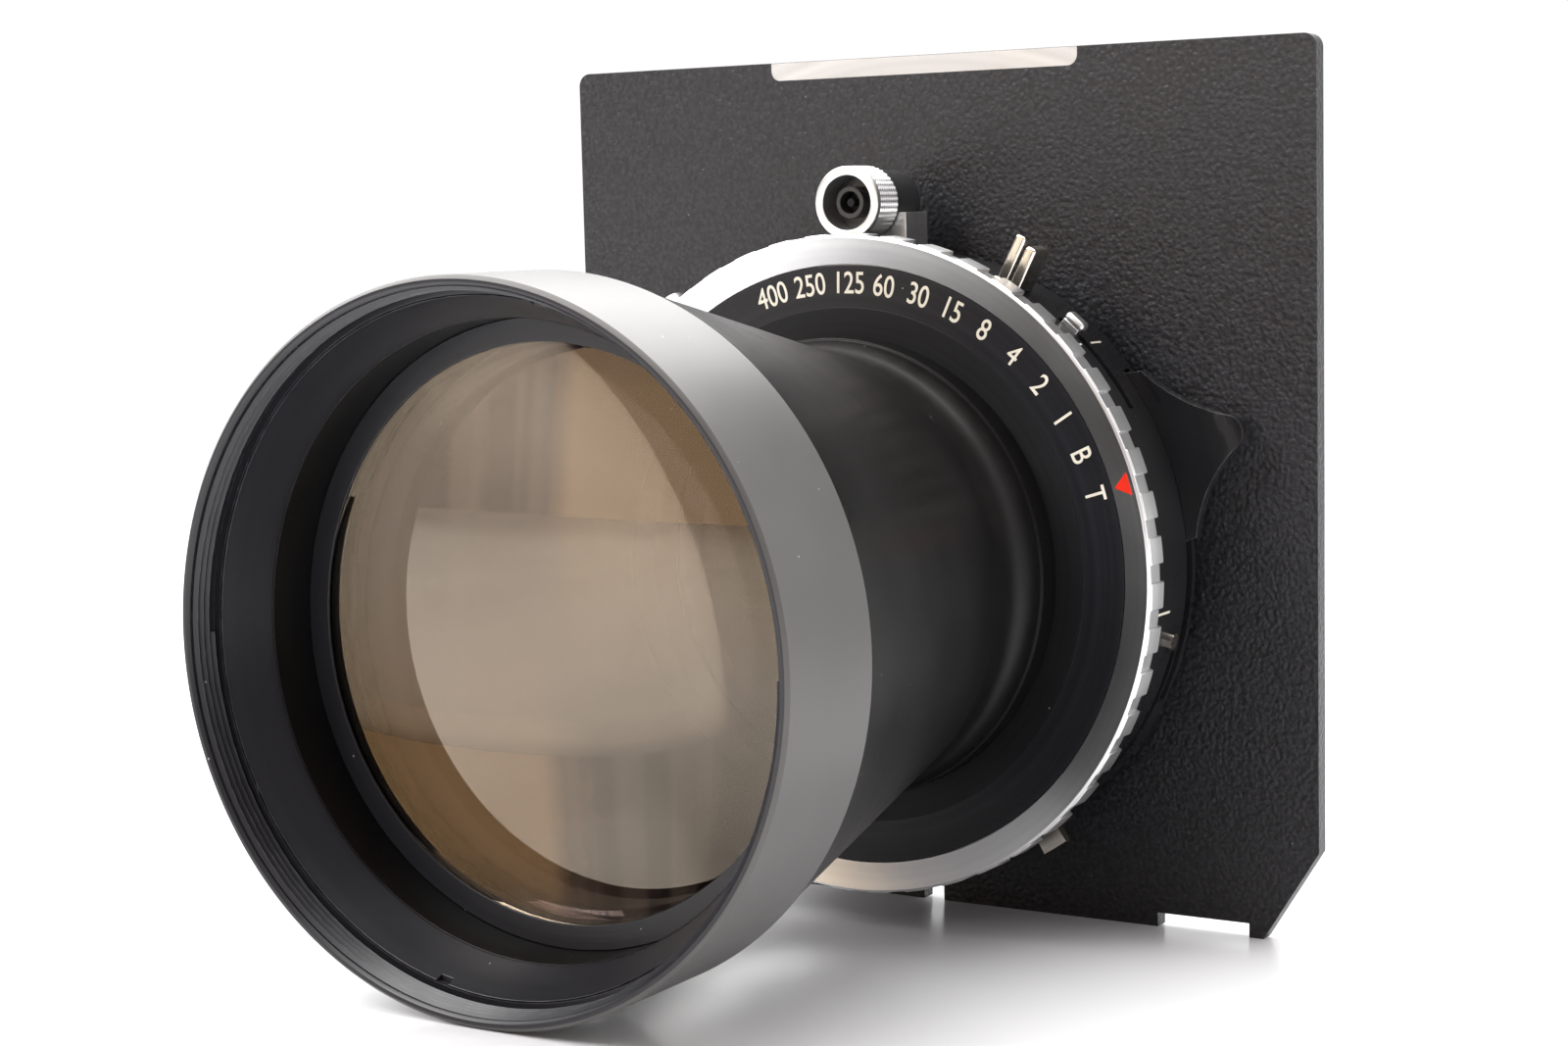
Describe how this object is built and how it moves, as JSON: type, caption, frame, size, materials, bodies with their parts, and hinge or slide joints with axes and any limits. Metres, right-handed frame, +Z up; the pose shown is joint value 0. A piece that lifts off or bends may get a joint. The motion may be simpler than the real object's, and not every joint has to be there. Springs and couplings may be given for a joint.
{
  "type": "view camera lens",
  "caption": "Large-format telephoto lens in a leaf shutter on a flat lens board, with a turning speed ring, aperture, preview, release and cocking levers and a flash socket.",
  "frame": {"origin": "on the lens axis at the board's front face, the flange plane the shutter seats on", "axes": "+Y along the lens axis toward the film, so the front of the lens faces -Y; +Z up along the board's height; +X across the board, to the right when the lens is looked at from the front"},
  "size_m": [0.096, 0.1119, 0.099],
  "materials": {
    "board_crinkle_black": "crinkle black paint",
    "black_anodised": "satin black anodised",
    "black_enamel": "semi-gloss black",
    "bright_nickel": "bright nickel plate",
    "steel": "fine turned",
    "brass": "fine turned",
    "gloss_black": "gloss black",
    "chrome": "satin chrome",
    "red_paint": "red enamel",
    "dial_black": "satin black",
    "black_plastic": "matte black",
    "barrel_black": "satin black",
    "band_grey": "satin grey anodised",
    "coated_glass": "multi-coated",
    "blade_black": "dull black"
  },
  "bodies": {
    "lens": {"blade_divider": "black_enamel", "cable_socket": "chrome", "cover_screws": "steel", "dial_nut": "black_anodised", "dial_plate": "dial_black", "flange_nut": "black_anodised", "flash_boss": "black_plastic", "flash_bracket": "chrome", "flash_collar": "chrome", "flash_insulator": "black_plastic", "flash_pin": "brass", "flash_sleeve": "bright_nickel", "front_baffle": "black_anodised", "front_band": "band_grey", "front_barrel": "barrel_black", "front_cover": "black_enamel", "front_glass_1": "coated_glass", "front_glass_2": "coated_glass", "front_glass_3": "coated_glass", "front_retainer": "black_anodised", "glass_spacer": "black_anodised", "inner_retainer": "black_anodised", "iris_pivot_pins": "steel", "leaf_pivot_pins": "steel", "lens_board": "board_crinkle_black", "main_spring": "steel", "rear_barrel": "barrel_black", "rear_glass_1": "coated_glass", "rear_glass_2": "coated_glass", "rear_retainer": "black_anodised", "rear_spacer": "black_anodised", "release_shaft": "steel", "shutter_housing": "black_enamel", "side_screw": "bright_nickel", "spring_post": "steel", "works_plate": "brass"},
    "speed_ring": {"speed_ring": "chrome", "speed_cam": "steel", "speed_index": "red_paint"},
    "iris_ring": {"iris_drive_ring": "brass", "aperture_lever": "bright_nickel"},
    "leaf_ring": {"leaf_drive_ring": "brass", "preview_lever": "bright_nickel"},
    "cocking": {"cocking_ring": "steel", "cocking_pin": "steel", "cocking_lever": "gloss_black"},
    "release": {"release_lever": "bright_nickel"},
    "iris_blade_1": {"iris_blade_1": "blade_black"},
    "iris_blade_2": {"iris_blade_2": "blade_black"},
    "iris_blade_3": {"iris_blade_3": "blade_black"},
    "iris_blade_4": {"iris_blade_4": "blade_black"},
    "iris_blade_5": {"iris_blade_5": "blade_black"},
    "iris_blade_6": {"iris_blade_6": "blade_black"},
    "iris_blade_7": {"iris_blade_7": "blade_black"},
    "shutter_leaf_1": {"shutter_leaf_1": "blade_black"},
    "shutter_leaf_2": {"shutter_leaf_2": "blade_black"},
    "shutter_leaf_3": {"shutter_leaf_3": "blade_black"},
    "shutter_leaf_4": {"shutter_leaf_4": "blade_black"},
    "shutter_leaf_5": {"shutter_leaf_5": "blade_black"}
  },
  "joints": [
    {"name": "speed_ring_turn", "type": "hinge", "parent": "lens", "child": "speed_ring", "pos_m": [0, 0, 0], "axis": [0, -1, 0], "range_deg": [0, 90.4]},
    {"name": "aperture_turn", "type": "hinge", "parent": "lens", "child": "iris_ring", "pos_m": [0, 0, 0], "axis": [0, -1, 0], "range_deg": [0, 39]},
    {"name": "preview_turn", "type": "hinge", "parent": "lens", "child": "leaf_ring", "pos_m": [0, 0, 0], "axis": [0, -1, 0], "range_deg": [-16, 0]},
    {"name": "cocking_turn", "type": "hinge", "parent": "lens", "child": "cocking", "pos_m": [0, 0, 0], "axis": [0, -1, 0], "range_deg": [-30, 0], "stiffness_Nm_per_rad": 0.02},
    {"name": "release_turn", "type": "hinge", "parent": "lens", "child": "release", "pos_m": [0.01268, -0.0105, 0.02384], "axis": [0, -1, 0], "range_deg": [-9, 0], "stiffness_Nm_per_rad": 0.01},
    {"name": "iris_blade_1_turn", "type": "hinge", "parent": "lens", "child": "iris_blade_1", "pos_m": [0.0256, -0.004, 0], "axis": [0, -1, 0], "range_deg": [0, 30.01]},
    {"name": "iris_blade_2_turn", "type": "hinge", "parent": "lens", "child": "iris_blade_2", "pos_m": [0.01596, -0.004, 0.02002], "axis": [0, -1, 0], "range_deg": [0, 30.01]},
    {"name": "iris_blade_3_turn", "type": "hinge", "parent": "lens", "child": "iris_blade_3", "pos_m": [-0.0057, -0.004, 0.02496], "axis": [0, -1, 0], "range_deg": [0, 30.01]},
    {"name": "iris_blade_4_turn", "type": "hinge", "parent": "lens", "child": "iris_blade_4", "pos_m": [-0.02306, -0.004, 0.01111], "axis": [0, -1, 0], "range_deg": [0, 30.01]},
    {"name": "iris_blade_5_turn", "type": "hinge", "parent": "lens", "child": "iris_blade_5", "pos_m": [-0.02306, -0.004, -0.01111], "axis": [0, -1, 0], "range_deg": [0, 30.01]},
    {"name": "iris_blade_6_turn", "type": "hinge", "parent": "lens", "child": "iris_blade_6", "pos_m": [-0.0057, -0.004, -0.02496], "axis": [0, -1, 0], "range_deg": [0, 30.01]},
    {"name": "iris_blade_7_turn", "type": "hinge", "parent": "lens", "child": "iris_blade_7", "pos_m": [0.01596, -0.004, -0.02002], "axis": [0, -1, 0], "range_deg": [0, 30.01]},
    {"name": "shutter_leaf_1_turn", "type": "hinge", "parent": "lens", "child": "shutter_leaf_1", "pos_m": [0.0286, -0.007, 0], "axis": [0, -1, 0], "range_deg": [-32.01, 0]},
    {"name": "shutter_leaf_2_turn", "type": "hinge", "parent": "lens", "child": "shutter_leaf_2", "pos_m": [0.00884, -0.007, 0.0272], "axis": [0, -1, 0], "range_deg": [-32.01, 0]},
    {"name": "shutter_leaf_3_turn", "type": "hinge", "parent": "lens", "child": "shutter_leaf_3", "pos_m": [-0.02314, -0.007, 0.01681], "axis": [0, -1, 0], "range_deg": [-32.01, 0]},
    {"name": "shutter_leaf_4_turn", "type": "hinge", "parent": "lens", "child": "shutter_leaf_4", "pos_m": [-0.02314, -0.007, -0.01681], "axis": [0, -1, 0], "range_deg": [-32.01, 0]},
    {"name": "shutter_leaf_5_turn", "type": "hinge", "parent": "lens", "child": "shutter_leaf_5", "pos_m": [0.00884, -0.007, -0.0272], "axis": [0, -1, 0], "range_deg": [-32.01, 0]}
  ],
  "couplings": [
    {"joint": "iris_blade_1_turn", "follows": "aperture_turn", "ratio": 0.76923},
    {"joint": "iris_blade_2_turn", "follows": "aperture_turn", "ratio": 0.76923},
    {"joint": "iris_blade_3_turn", "follows": "aperture_turn", "ratio": 0.76923},
    {"joint": "iris_blade_4_turn", "follows": "aperture_turn", "ratio": 0.76923},
    {"joint": "iris_blade_5_turn", "follows": "aperture_turn", "ratio": 0.76923},
    {"joint": "iris_blade_6_turn", "follows": "aperture_turn", "ratio": 0.76923},
    {"joint": "iris_blade_7_turn", "follows": "aperture_turn", "ratio": 0.76923},
    {"joint": "shutter_leaf_1_turn", "follows": "preview_turn", "ratio": 2},
    {"joint": "shutter_leaf_2_turn", "follows": "preview_turn", "ratio": 2},
    {"joint": "shutter_leaf_3_turn", "follows": "preview_turn", "ratio": 2},
    {"joint": "shutter_leaf_4_turn", "follows": "preview_turn", "ratio": 2},
    {"joint": "shutter_leaf_5_turn", "follows": "preview_turn", "ratio": 2}
  ]
}
